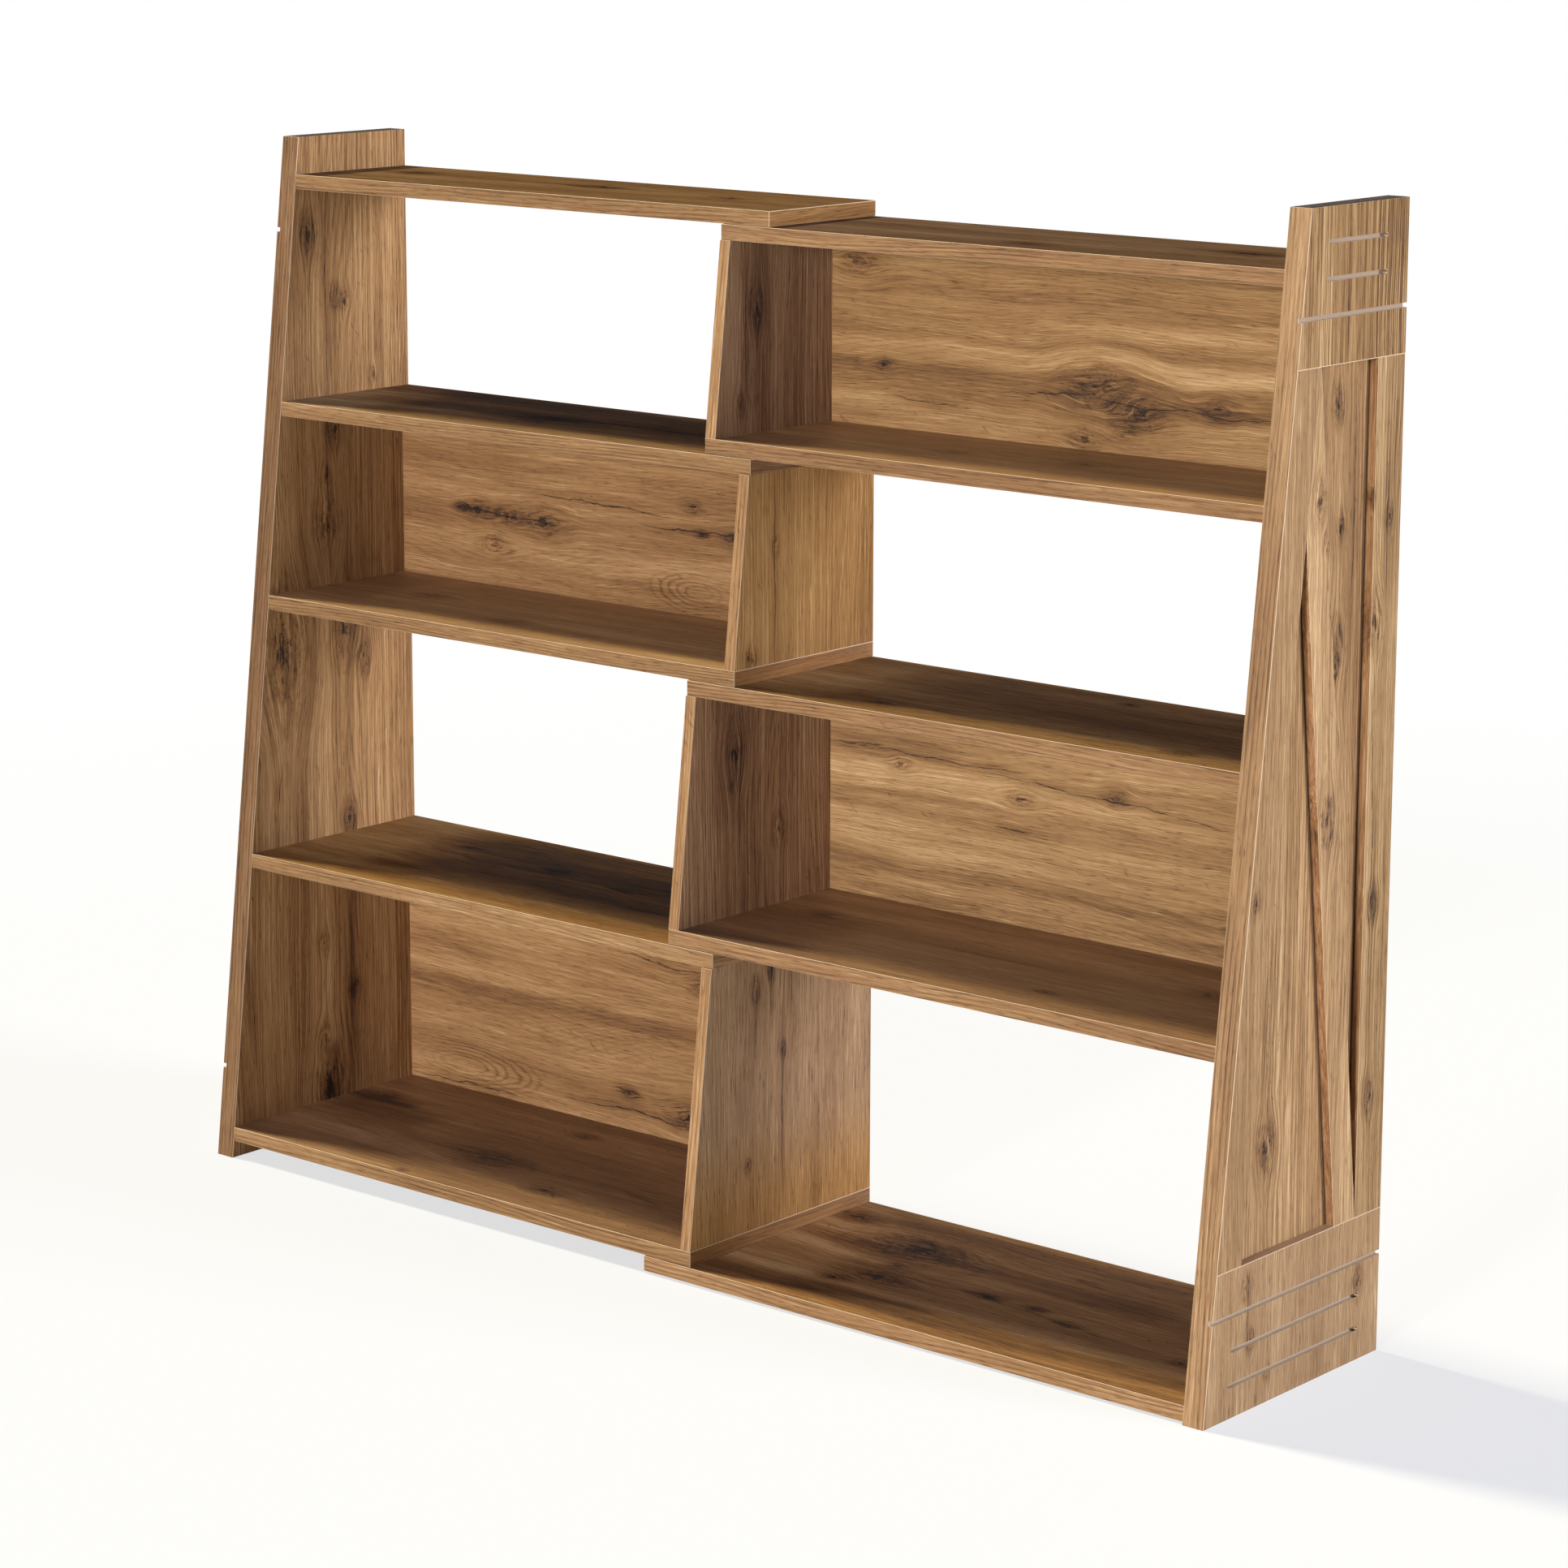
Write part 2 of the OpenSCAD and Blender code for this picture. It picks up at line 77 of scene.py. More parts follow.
# What the print is multiplied by on the edges of an end's outer boards, and on the upper ends of uprights
EDGE_WASH = (0.80, 0.68, 0.62)
TOP_WASH = (0.09, 0.075, 0.075)
NO_WASH = (1.0, 1.0, 1.0)
WHITE = (1.0, 1.0, 1.0)
FLOOR_COLOR = (0.76, 0.79, 0.95)
WORLD_COLOR = (0.082, 0.092, 0.130)

# Width of the slope at the edges of boards, and at those of edge bands
TRIM = 0.0004
BAND_TRIM = 0.0003
# Where the dark ends of the short grooves lie towards the rear, and how far the through grooves are from the
# rails' inner edges
GROOVE_SPOT = (0.1190, 0.1265)
THROUGH_GROOVE = (0.045, 0.060)
# How far the grooves stay from a rail's upper and lower edge
GROOVE_MARGIN = 0.010
# How much of its normal lies along an axis where an outer board's edge is fully reddish
LAYER_FACE = 0.95
# How far the fronts lean back for each metre of height
FRONT_LEAN = 150.0 / 1285.0

# The order of X, Y and Z that gives along, across and through for each kind of board, on its faces and on its
# ends, and the axis of its end faces
GRAIN = {
    "back": ((0, 2, 1), (2, 1, 0), 0),
    "shelf": ((0, 1, 2), (1, 2, 0), 0),
    "upright": ((2, 1, 0), (1, 0, 2), 2),
    "level_band": ((0, 2, 1), (1, 2, 0), 0),
    "upright_band": ((2, 0, 1), (0, 1, 2), 2),
}

# Knots and cracks of each board, in mm: (along, across, size) and (along, across, length, slope)
MARKS = {
    "left_end_panel": (
        [(1163, -5, 10), (1082, 38, 6), (1077, 56, 6), (978, 105, 4), (915, 34, 9), (855, 20, 6),
         (797, 20, 13), (640, -62, 30), (655, 45, 15), (615, 80, 8), (508, -113, 7), (405, 50, 8),
         (250, 0, 6), (180, 52, 6), (125, 0, 8), (52, 8, 20)],
        [(1080, 24, 420, 0.01), (830, 22, 260, -0.02), (470, -70, 60, 0.15), (190, 48, 300, 0.01),
         (170, -125, 170, -0.05)],
    ),
    "left_upper_back_panel": (
        [(-490, 805, 13), (-555, 808, 9), (-605, 811, 9), (-637, 812, 4), (-241, 851, 6), (-225, 818, 4),
         (-172, 818, 7), (-577, 768, 9)],
        [(-400, 838, 260, -0.03), (-560, 808, 200, -0.04), (-240, 820, 180, 0.0)],
    ),
    "left_lower_back_panel": (
        [(-245, 72, 12), (-222, 247, 8), (-350, 87, 5)],
        [(-350, 63, 230, 0.02), (-295, 267, 170, 0.0), (-640, 47, 200, 0.03), (-350, 87, 60, -0.1)],
    ),
    "right_upper_back_panel": (
        [(375, 1050, 20), (430, 1020, 14), (350, 990, 9), (60, 1050, 5), (535, 1038, 8), (405, 998, 7),
         (20, 1168, 12)],
        [(480, 1031, 280, -0.02), (130, 1012, 120, -0.06), (300, 1036, 150, 0.05)],
    ),
    "right_lower_back_panel": (
        [(403, 580, 7), (265, 560, 8), (88, 576, 6), (560, 448, 3)],
        [(150, 590, 260, 0.0), (400, 575, 420, -0.05), (257, 521, 60, 0.0), (20, 593, 90, 0.05)],
    ),
    "left_shelf_1": (
        [(-640, 95, 12), (-330, 95, 14), (-110, 75, 12)],
        [(-400, 90, 420, 0.0)],
    ),
    "left_shelf_2": (
        [(-370, 40, 16)],
        [(-300, 60, 360, 0.0)],
    ),
    "left_shelf_3": (
        [(-580, 45, 12), (-380, -20, 9)],
        [(-250, 25, 360, 0.0)],
    ),
    "left_shelf_4": (
        [(-553, 80, 7), (-380, 60, 8), (-250, 38, 8)],
        [(-420, 42, 480, -0.01), (-160, -20, 80, 0.0)],
    ),
    "left_shelf_5": (
        [(-695, 65, 8), (-370, 98, 7), (-400, -50, 20), (-258, -100, 10), (-450, -152, 4)],
        [(-690, 47, 140, 0.0), (-440, 48, 260, 0.0), (-140, -50, 90, -0.3), (-620, -60, 120, -0.2)],
    ),
    "right_shelf_1": (
        [(370, 20, 12), (620, 85, 14)],
        [(600, 90, 160, 0.0)],
    ),
    "right_shelf_2": (
        [(420, 60, 12), (250, 45, 9)],
        [(500, 30, 160, 0.0)],
    ),
    "right_shelf_3": (
        [(220, -45, 9), (440, 130, 6), (630, -50, 9)],
        [(300, -40, 200, 0.0), (560, -55, 180, 0.0)],
    ),
    "right_shelf_4": (
        [(60, 50, 9), (610, 45, 10), (470, -62, 6)],
        [(560, 70, 180, -0.1), (330, 20, 240, 0.0)],
    ),
    "right_shelf_5": (
        [(65, 113, 10), (195, 62, 30), (215, -2, 7), (360, -20, 8), (430, -18, 6), (490, -38, 7),
         (222, -48, 15), (182, -80, 7), (660, -58, 6)],
        [(250, -26, 220, 0.0), (440, -32, 460, -0.12), (420, 92, 60, -0.2)],
    ),
    "right_upper_divider": (
        [(1120, 20, 9), (1010, -10, 7)],
        [(1090, 0, 200, 0.0)],
    ),
    "right_lower_divider": (
        [(600, -20, 12), (500, 60, 8)],
        [(560, -10, 220, 0.02)],
    ),
    "left_upper_divider": (
        [(852, -10, 4), (727, -60, 5), (724, -50, 5)],
        [(820, -12, 240, 0.0)],
    ),
    "left_lower_divider": (
        [(330, -46, 6), (352, -18, 5), (250, 3, 4), (120, -60, 4)],
        [(190, 3, 250, 0.0), (300, -45, 110, 0.04), (335, -18, 90, 0.0)],
    ),
    "right_top_rail": (
        [],
        [(1200, 55, 160, 0.0)],
    ),
    "right_end_panel": (
        [(1072, 60, 8), (940, 70, 6), (815, 70, 9), (790, 66, 6), (700, 57, 10), (280, -45, 12)],
        [(960, 95, 400, 0.0)],
    ),
    "right_front_stile": (
        [(560, -90, 5)],
        [],
    ),
    "right_diagonal_brace": (
        [(975, 12, 10), (625, 40, 12), (930, 28, 5)],
        [],
    ),
    "right_rear_stile": (
        [(832, 122, 11), (945, 147, 5), (968, 112, 4), (520, 135, 7), (300, 138, 8)],
        [(640, 128, 300, -0.02), (950, 143, 200, 0.0)],
    ),
    "right_bottom_rail": (
        [(140, -92, 7), (92, 125, 8), (78, -82, 5), (30, -50, 4)],
        [(105, -88, 110, 0.0)],
    ),
}

# How dark the knots of a board are. Those of other boards are 1.
KNOT_DEPTH = {
    "right_upper_back_panel": 0.72,
    "right_lower_back_panel": 0.85,
    "left_shelf_5": 1.5,
    "right_shelf_5": 1.3,
    "right_upper_divider": 0.75,
    "right_lower_divider": 0.75,
}

# How wide cracks are, in mm
CRACK_WIDTH = {"left_lower_back_panel": 2.0, "left_upper_back_panel": 1.6}
USUAL_CRACK = 1.2

# Tone bands that run the length of a board, in mm: (across, half width, change of tone). On the back panels
# they are print; on the shelves they darken the lit front as painted shade, and on the dividers they are
# painted light towards the front and painted shade towards the rear.
BANDS_AND_PAINTED_LIGHT = {
    "right_upper_back_panel": [
        (1040, 19, -0.17), (1070, 11, 0.07), (1096, 11, -0.08), (1140, 9, -0.08), (1004, 12, 0.06),
    ],
    "left_upper_back_panel": [(765, 12, 0.05), (845, 12, -0.05)],
    "right_lower_back_panel": [
        (558, 14, 0.06), (530, 15, -0.04), (492, 20, 0.06), (455, 10, -0.12), (420, 12, -0.10),
        (590, 12, -0.04),
    ],
    "left_lower_back_panel": [(180, 10, -0.08), (130, 25, 0.03)],
    "right_shelf_2": [(-42, 22, -0.13)],
    "right_shelf_3": [(-76, 28, -0.14)],
    "right_shelf_4": [(-104, 28, -0.15)],
    "right_shelf_5": [(-140, 40, -0.17), (-118, 18, -0.12)],
    "left_shelf_5": [(-142, 36, -0.05)],
    "left_upper_divider": [(-75, 60, 0.13), (12, 38, 0.05), (130, 50, -0.05)],
    "left_lower_divider": [(-22, 26, -0.03), (-120, 60, 0.05), (48, 36, -0.04), (120, 60, -0.05)],
}

# Nested growth arcs, in mm: (along, across, half length, half width, number of arcs). They close towards the
# side that the sign of the half length points to, and fade at the other.
ARCS = {
    "left_lower_back_panel": [(-640, 72, 130, 31, 7)],
    "left_upper_back_panel": [(-228, 746, -80, 26, 5)],
}

# Smoky parts of boards, in mm: (along, across, half length, half width, depth of tone). They are paler parts
# where the depth is below 0. On the end panel and the dividers they are print. On the shelf tops the dark
# parts are painted shade and shadow from the shelf above and the boards beside, and the paler parts are a
# painted reflection of the boards beside them.
SMOKE_AND_PAINTED_LIGHT = {
    "left_shelf_2": [(-300, 130, 430, 115, 0.31), (-730, 20, 130, 100, -0.16)],
    "left_shelf_3": [(-720, 60, 90, 100, 0.10)],
    "left_shelf_4": [(-230, 85, 370, 140, 0.31), (-720, 40, 130, 170, -0.12)],
    "left_shelf_5": [
        (-330, 10, 230, 60, 0.08), (-660, -100, 90, 50, -0.09), (-640, 10, 100, 45, 0.17),
        (-690, 54, 70, 15, 0.22),
    ],
    "right_shelf_2": [(20, -10, 75, 55, 0.13)],
    "right_shelf_3": [(480, 95, 340, 135, 0.17), (60, 20, 90, 130, -0.11)],
    "right_shelf_4": [(30, -30, 130, 130, 0.10)],
    "right_shelf_5": [(480, -30, 330, 60, 0.11), (330, 95, 260, 70, 0.15), (60, -70, 110, 90, -0.12)],
    "left_end_panel": [(72, 12, 42, 13, 0.15), (52, -2, 24, 12, 0.15), (190, -60, 170, 90, -0.06)],
    "right_upper_divider": [(1085, 20, 130, 38, 0.09)],
    "right_lower_divider": [(610, -25, 110, 42, 0.10)],
}

# What the colour of a board's print is multiplied by, in red, green and blue. Besides each board's own tone
# this holds painted light and shade: the shelves' washes differ from shelf to shelf as painted light and
# shade, with the top shelves darkest as painted shade; the dividers are bluer as the painted colour of their
# shade; and the right end's band is paler and the left end's darker as painted light and shade.
WASH = {
    "left_shelf_1": (0.53, 0.54, 0.58),
    "left_shelf_2": (0.72, 0.76, 0.84),
    "left_shelf_3": (1.15, 1.17, 1.18),
    "left_shelf_4": (0.88, 0.86, 0.74),
    "left_shelf_5": (0.96, 0.95, 1.04),
    "right_shelf_1": (0.40, 0.43, 0.61),
    "right_shelf_2": (1.14, 1.15, 1.12),
    "right_shelf_3": (0.88, 0.92, 0.90),
    "right_shelf_4": (1.02, 1.03, 1.09),
    "right_shelf_5": (1.28, 1.30, 1.30),
    "right_upper_divider": (0.98, 1.07, 1.42),
    "right_lower_divider": (1.08, 1.16, 1.45),
    "left_upper_divider": (0.94, 0.90, 0.73),
    "left_lower_divider": (1.00, 1.12, 1.40),
    "left_end_panel": (1.05, 1.06, 1.05),
    "left_upper_back_panel": (0.88, 0.86, 0.82),
    "right_upper_back_panel": (1.05, 1.08, 1.01),
    "right_lower_back_panel": (1.10, 1.17, 1.15),
    "left_lower_back_panel": (0.93, 0.92, 0.88),
    "left_top_rail": (0.94, 0.95, 0.98),
    "left_front_stile": (1.02, 1.04, 1.08),
    "left_diagonal_brace": (1.20, 1.22, 1.26),
    "left_rear_stile": (0.96, 0.98, 1.00),
    "left_bottom_rail": (0.97, 1.00, 1.05),
    "left_end_edge_band": (0.65, 0.64, 0.67),
    "right_end_edge_band": (1.09, 1.18, 1.30),
    "left_shelf_edge_bands": (0.90, 0.92, 0.90),
    "right_shelf_edge_bands": (0.95, 0.96, 0.98),
    "right_top_rail": (0.89, 0.95, 0.97),
    "right_front_stile": (0.98, 1.08, 1.20),
    "right_end_panel": (1.08, 1.17, 1.26),
    "right_diagonal_brace": (1.22, 1.38, 1.56),
    "right_rear_stile": (0.96, 1.07, 1.14),
    "right_bottom_rail": (1.03, 1.16, 1.34),
}

# What the colour of a shelf's free end is multiplied by, after the above
FREE_END = {
    "left_shelf_1": (1.66, 1.52, 1.22),
    "left_shelf_2": (1.02, 0.95, 1.02),
    "left_shelf_3": (0.73, 0.55, 0.25),
    "left_shelf_4": (1.02, 1.10, 1.42),
    "left_shelf_5": (0.62, 0.48, 0.24),
}

# The golden foot of a board: how high it is full, where it ends, in mm, and what its colour is multiplied by
FOOT_WASH = {"left_lower_divider": (50, 190, (1.00, 0.85, 0.55))}

# How strong the figure of a board's print is
CONTRAST = {
    "left_front_stile": 0.50,
    "left_diagonal_brace": 0.60,
    "left_bottom_rail": 0.60,
    "right_front_stile": 0.42,
    "right_bottom_rail": 0.45,
    "right_diagonal_brace": 0.65,
    "left_end_panel": 0.75,
    "left_shelf_5": 1.30,
    "right_shelf_5": 1.15,
    "left_upper_divider": 0.50,
    "left_lower_divider": 0.40,
    "left_shelf_edge_bands": 0.70,
    "right_shelf_edge_bands": 0.70,
}
USUAL_CONTRAST = 0.85

# How deep the long fine ribs of a board are, and those of other boards by their kind
RIBS = {
    "left_end_panel": 0.60,
    "left_upper_divider": 0.50,
    "left_lower_divider": 0.25,
    "right_top_rail": 1.20,
    "right_front_stile": 0.35,
    "right_end_panel": 0.75,
    "right_diagonal_brace": 0.50,
    "right_rear_stile": 0.60,
    "right_bottom_rail": 0.15,
}
RIBS_OF_KIND = {"shelf": 0.25, "upright": 0.60, "back": 0.20, "level_band": 0.15, "upright_band": 0.15}

# How far the grain of each kind of board bends, and how deep its stripes are
GRAIN_FORM = {
    "shelf": (0.7, -0.06),
    "upright": (0.55, -0.15),
    "back": (1.0, -0.08),
    "level_band": (0.35, -0.28),
    "upright_band": (0.2, -0.24),
}

# How much light the surfaces throw back. The tops of closed bays are satin.
SHINE = {
    "left_shelf_3": 0.4,
    "left_shelf_5": 0.4,
    "right_shelf_2": 0.4,
    "right_shelf_4": 0.4,
    "left_shelf_2": 0.0005,
    "left_shelf_4": 0.003,
    "right_shelf_3": 0.0015,
    "right_shelf_5": 0.008,
}
SHINE_OF_KIND = {"shelf": 0.0, "upright": 0.025, "back": 0.07, "level_band": 0.1, "upright_band": 0.1}

# The floor is a square of this size, and fades to white between these distances from its middle
FLOOR_SIZE = 90.0
FADE_START = 1.6
FADE_END = 4.0
# How white the floor is seen near its middle, from 0 for lit floor to 1 for white
NEAR_WHITE = 0.68


class Graph:
    """Adds nodes to a tree. A number, a colour or another node's output can feed any input."""

    def __init__(self, tree):
        self.tree = tree

    def add(self, kind, inputs=None, output=0, **settings):
        made = self.tree.nodes.new(kind)
        for name, value in settings.items():
            setattr(made, name, value)
        for name, value in (inputs or {}).items():
            self.feed(made.inputs[name], value)
        return made.outputs[output]

    def feed(self, socket, value):
        if isinstance(value, bpy.types.NodeSocket):
            self.tree.links.new(value, socket)
        elif socket.type == "RGBA" and len(value) == 3:
            socket.default_value = (*value, 1.0)
        else:
            socket.default_value = value

    def math(self, operation, a, b=0.0, clamp=False):
        return self.add("ShaderNodeMath", {0: a, 1: b}, operation=operation, use_clamp=clamp)

    def plus(self, value, *others):
        for other in others:
            value = self.math("ADD", value, other)
        return value

    def times(self, value, *others):
        for other in others:
            value = self.math("MULTIPLY", value, other)
        return value

    def minus(self, a, b):
        return self.math("SUBTRACT", a, b)

    def size_of(self, value):
        return self.math("ABSOLUTE", value)

    def total(self, values):
        """The sum of outputs, or 0 where there are none."""
        return self.plus(0.0, *values)

    def wave(self, turns):
        """A sine wave from 0 to 1."""
        inputs = {0: self.math("SINE", turns), 1: 0.5, 2: 0.5}
        return self.add("ShaderNodeMath", inputs, operation="MULTIPLY_ADD")

    def within(self, value, low, high):
        """1 where a value lies between two others."""
        return self.times(self.math("GREATER_THAN", value, low), self.math("LESS_THAN", value, high))

    def vector(self, operation, a, b=(0.0, 0.0, 0.0), output=0):
        return self.add("ShaderNodeVectorMath", {0: a, 1: b}, output, operation=operation)

    def length(self, vector):
        return self.vector("LENGTH", vector, output="Value")

    def split(self, vector):
        made = self.tree.nodes.new("ShaderNodeSeparateXYZ")
        self.feed(made.inputs[0], vector)
        return made.outputs

    def join(self, x=0.0, y=0.0, z=0.0):
        return self.add("ShaderNodeCombineXYZ", {0: x, 1: y, 2: z})

    def place(self, name="Object"):
        """Object coordinates, or the normal in them."""
        return self.add("ShaderNodeTexCoord", output=name)

    def noise(self, where, stretch, detail=2.0, roughness=0.5):
        scaled = self.vector("MULTIPLY", where, stretch)
        inputs = {"Vector": scaled, "Scale": 1.0, "Detail": detail, "Roughness": roughness}
        return self.add("ShaderNodeTexNoise", inputs)

    def ramp(self, value, start, end, low=0.0, high=1.0):
        """Goes smoothly from low at start to high at end."""
        inputs = {"Value": value, "From Min": start, "From Max": end, "To Min": low, "To Max": high}
        return self.add("ShaderNodeMapRange", inputs, interpolation_type="SMOOTHSTEP")

    def faces(self, amount, full=0.97):
        """1 where a face looks along an axis, from how much of its normal lies along it."""
        return self.ramp(amount, 0.80, full)

    def mix(self, factor, a, b, blend="MIX", data_type="RGBA"):
        made = self.tree.nodes.new("ShaderNodeMix")
        made.data_type = data_type
        made.blend_type = blend
        self.feed(made.inputs["Factor"], factor)
        self.feed(made.inputs["A"], a)
        self.feed(made.inputs["B"], b)
        return made.outputs["Result"]

    def wash(self, color, by, factor=None):
        """A colour multiplied by another, all over or where the factor is 1."""
        washed = self.mix(1.0, color, by, "MULTIPLY")
        return washed if factor is None else self.mix(factor, color, washed)

    def bump(self, strength, distance, height):
        return self.add("ShaderNodeBump", {"Strength": strength, "Distance": distance, "Height": height})

    def group(self, tree, inputs):
        made = self.tree.nodes.new("ShaderNodeGroup")
        made.node_tree = tree
        for name, value in inputs.items():
            self.feed(made.inputs[name], value)
        return made.outputs


def new_group(name, inputs, outputs):
    """A node group with its inputs and outputs, given as name: socket kind."""
    tree = bpy.data.node_groups.new(name, "ShaderNodeTree")
    for socket, kind in inputs.items():
        tree.interface.new_socket(socket, in_out="INPUT", socket_type=f"NodeSocket{kind}")
    for socket, kind in outputs.items():
        tree.interface.new_socket(socket, in_out="OUTPUT", socket_type=f"NodeSocket{kind}")
    entry = tree.nodes.new("NodeGroupInput")
    exit_node = tree.nodes.new("NodeGroupOutput")
    return Graph(tree), entry.outputs, exit_node.inputs


def knot_group():
    """One knot: how far it pushes the grain aside, its dark heart and curls, and the brown round it."""
    g, given, out = new_group(
        "oak_knot",
        {"Place": "Vector", "Centre": "Vector", "Shrink": "Vector", "Width": "Float", "Ragged": "Float"},
        {"Push": "Float", "Heart": "Float", "Curls": "Float", "Halo": "Float"},
    )
    away = g.vector("MULTIPLY", g.vector("SUBTRACT", given["Place"], given["Centre"]), given["Shrink"])
    distance = g.length(away)
    uneven = g.minus(given["Ragged"], 0.5)
    ragged = g.plus(distance, g.times(uneven, 2.6))
    near = g.ramp(distance, 0.4, 3.4, 1.0, 0.0)
    push = g.times(g.split(away)[1], near, given["Width"])
    turns = g.plus(g.times(distance, 8.0), g.times(uneven, 26.0))
    curl = g.math("POWER", g.wave(turns), 6.0)
    g.feed(out["Push"], g.times(push, -0.8))
    g.feed(out["Heart"], g.ramp(ragged, -0.10, 0.60, 1.0, 0.0))
    g.feed(out["Curls"], g.times(curl, g.ramp(ragged, 0.4, 1.7, 1.0, 0.0)))
    g.feed(out["Halo"], g.ramp(ragged, 0.6, 2.8, 1.0, 0.0))
    return g.tree


def crack_group():
    """One crack along the grain: a thin wandering line that thins out at its ends, and the smoke round it."""
    g, given, out = new_group(
        "oak_crack",
        {"Place": "Vector", "Centre": "Vector", "Half": "Float", "Slope": "Float", "Width": "Float",
         "Wander": "Float", "Ragged": "Float"},
        {"Line": "Float", "Smoke": "Float"},
    )
    away = g.split(g.vector("SUBTRACT", given["Place"], given["Centre"]))
    along = g.math("DIVIDE", away[0], given["Half"])
    taper = g.math("SUBTRACT", 1.0, g.times(along, along), clamp=True)
    drift = g.plus(g.times(away[0], given["Slope"]), given["Wander"])
    distance = g.size_of(g.minus(away[1], drift))
    swell = g.times(g.ramp(given["Ragged"], 0.40, 0.66, 0.28, 1.0), taper)
    width = g.plus(g.times(given["Width"], swell), 0.00012)
    line = g.ramp(distance, g.times(width, 0.3), width, 1.0, 0.0)
    reach = g.plus(g.times(given["Width"], 7.0), 0.002)
    smoke = g.ramp(distance, 0.0, reach, 1.0, 0.0)
    g.feed(out["Line"], g.times(line, g.ramp(taper, 0.0, 0.15, 0.0, 0.9)))
    g.feed(out["Smoke"], g.times(smoke, taper))
    return g.tree


def oak_group():
    """The oak print: tone bands, growth arcs, fibres, pores, ribs, rays and smoke, drawn as one tone."""
    g, given, out = new_group(
        "wild_oak",
        {"Print": "Vector", "Tone": "Float", "Smoke": "Float", "Bend": "Float", "Stripes": "Float",
         "Contrast": "Float", "Ribs": "Float"},
        {"Color": "Color", "Height": "Float", "Roughness": "Float"},
    )
    # Slow bends of the grain
    slow = g.times(g.minus(g.noise(given["Print"], (2.4, 7.0, 7.0), 1.0), 0.5), 0.034)
    quick = g.times(g.minus(g.noise(given["Print"], (12.0, 34.0, 34.0), 2.0), 0.5), 0.0055)
    bend = g.times(g.plus(slow, quick), given["Bend"])
    wood = g.vector("ADD", given["Print"], g.join(0.0, bend, 0.0))
    # Broad bands of tone
    band = g.ramp(g.noise(wood, (1.5, 21.0, 21.0), 3.0, 0.62), 0.30, 0.70, -0.10, 0.10)
    # Growth arcs: height lines of a long smooth hill
    hill = g.noise(wood, (1.2, 7.5, 7.5), 1.0)
    rise = g.times(hill, 46.0, given["Bend"])
    turns = g.plus(g.times(g.split(wood)[1], 190.0), rise)
    wave = g.wave(g.times(turns, math.tau))
    broken = g.ramp(g.noise(wood, (6.0, 90.0, 90.0), 2.0), 0.35, 0.60, 0.15, 1.0)
    arcs = g.times(g.math("POWER", wave, 3.0), broken, given["Stripes"])
    # Fibres, dark pores and pale dashes along the grain
    fibre = g.noise(wood, (16.0, 640.0, 640.0), 3.0, 0.70)
    fibres = g.ramp(fibre, 0.28, 0.72, -0.095, 0.085)
    pores = g.ramp(g.noise(wood, (48.0, 800.0, 800.0), 1.0), 0.59, 0.72, 0.0, -0.17)
    long = g.noise(wood, (17.0, 760.0, 760.0), 1.0)
    pale = g.ramp(g.plus(long, g.times(band, -0.5)), 0.37, 0.27, 0.0, 0.15)
    # Long fine ribs, pale between dark
    rib = g.noise(wood, (1.1, 340.0, 340.0), 2.0, 0.60)
    ribbed = g.ramp(g.noise(wood, (3.0, 14.0, 14.0), 1.0), 0.30, 0.62, 0.35, 1.0)
    ribs = g.times(g.ramp(rib, 0.36, 0.64, -0.20, 0.14), g.times(ribbed, given["Ribs"]))
    # Short rays that cross the grain here and there
    turned = g.add("ShaderNodeVectorRotate", {"Vector": wood, "Angle": 0.65}, rotation_type="Z_AXIS")
    ray = g.ramp(g.noise(turned, (60.0, 210.0, 120.0), 1.0), 0.65, 0.80)
    some = g.ramp(g.noise(wood, (4.0, 26.0, 26.0), 0.0), 0.55, 0.72)
    rays = g.times(ray, some, -0.17)
    # Smoke where the wood was damp
    patches = g.ramp(g.noise(wood, (2.2, 18.0, 18.0), 3.0, 0.6), 0.60, 0.80)
    smoke = g.plus(g.times(patches, 0.22), given["Smoke"])
    smoke = g.times(smoke, g.ramp(fibre, 0.30, 0.62, -0.22, -0.36))

    figure = g.times(g.total([band, arcs, rays]), given["Contrast"])
    tone = g.total([figure, fibres, pores, pale, ribs, smoke, given["Tone"]])
    colors = g.tree.nodes.new("ShaderNodeValToRGB")
    g.feed(colors.inputs[0], tone)
    ramp = colors.color_ramp
    ramp.interpolation = "B_SPLINE"
    for element, (_, color) in zip(ramp.elements, (OAK_TONES[0], OAK_TONES[-1])):
        element.color = (*color, 1.0)
    for position, color in OAK_TONES[1:-1]:
        ramp.elements.new(position).color = (*color, 1.0)
    g.feed(out["Color"], colors.outputs[0])
    g.feed(out["Height"], g.plus(g.times(pores, 3.0), fibres))
    g.feed(out["Roughness"], g.ramp(fibre, 0.2, 0.8, 0.60, 0.48))
    return g.tree


KNOT = knot_group()
CRACK = crack_group()
OAK = oak_group()


def principled(name):
    """A material with its Principled shader, and a graph to add to it."""
    material = bpy.data.materials.new(name)
    material.use_nodes = True
    shader = material.node_tree.nodes["Principled BSDF"]
    return material, shader, Graph(material.node_tree)


def board_place(g, kind):
    """Along, across and through the board, in metres. On a board's ends the grain follows the edge."""
    face, end, end_axis = GRAIN[kind]
    xyz = g.split(g.place())
    through = xyz[face[2]]
    if kind == "upright_band":
        through = g.minus(through, g.times(xyz[2], FRONT_LEAN))
    on_face = g.join(xyz[face[0]], xyz[face[1]], through)
    on_end = g.join(*(xyz[k] for k in end))
    facing = g.split(g.place("Normal"))
    is_end = g.math("GREATER_THAN", g.size_of(facing[end_axis]), 0.8)
    return on_face, g.mix(is_end, on_face, on_end, data_type="VECTOR"), facing


